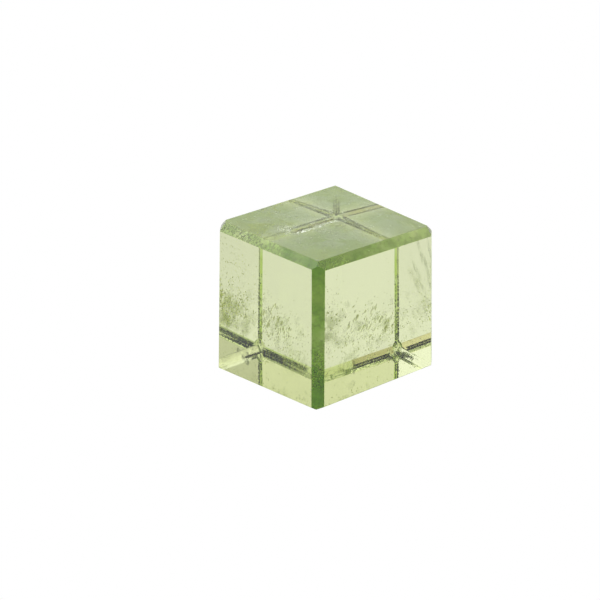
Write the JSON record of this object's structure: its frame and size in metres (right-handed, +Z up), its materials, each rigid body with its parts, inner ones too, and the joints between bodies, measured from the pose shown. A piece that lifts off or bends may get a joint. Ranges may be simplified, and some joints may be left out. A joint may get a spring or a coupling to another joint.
{
  "type": "peridot",
  "caption": "Clear yellow-green stone ground to a small cube with bevelled edges, for display, setting or teaching about minerals.",
  "frame": {"origin": "centre of the stone's footprint, on the surface that it rests on", "axes": "+Z up from the resting face to the top face, +X and -Y out of the two side faces that meet at the widest upright bevel"},
  "size_m": [0.0108, 0.0108, 0.01],
  "materials": {
    "peridot": "polished faces with finely ground bevels"
  },
  "bodies": {
    "root": {"peridot_cube": "peridot"}
  },
  "joints": []
}
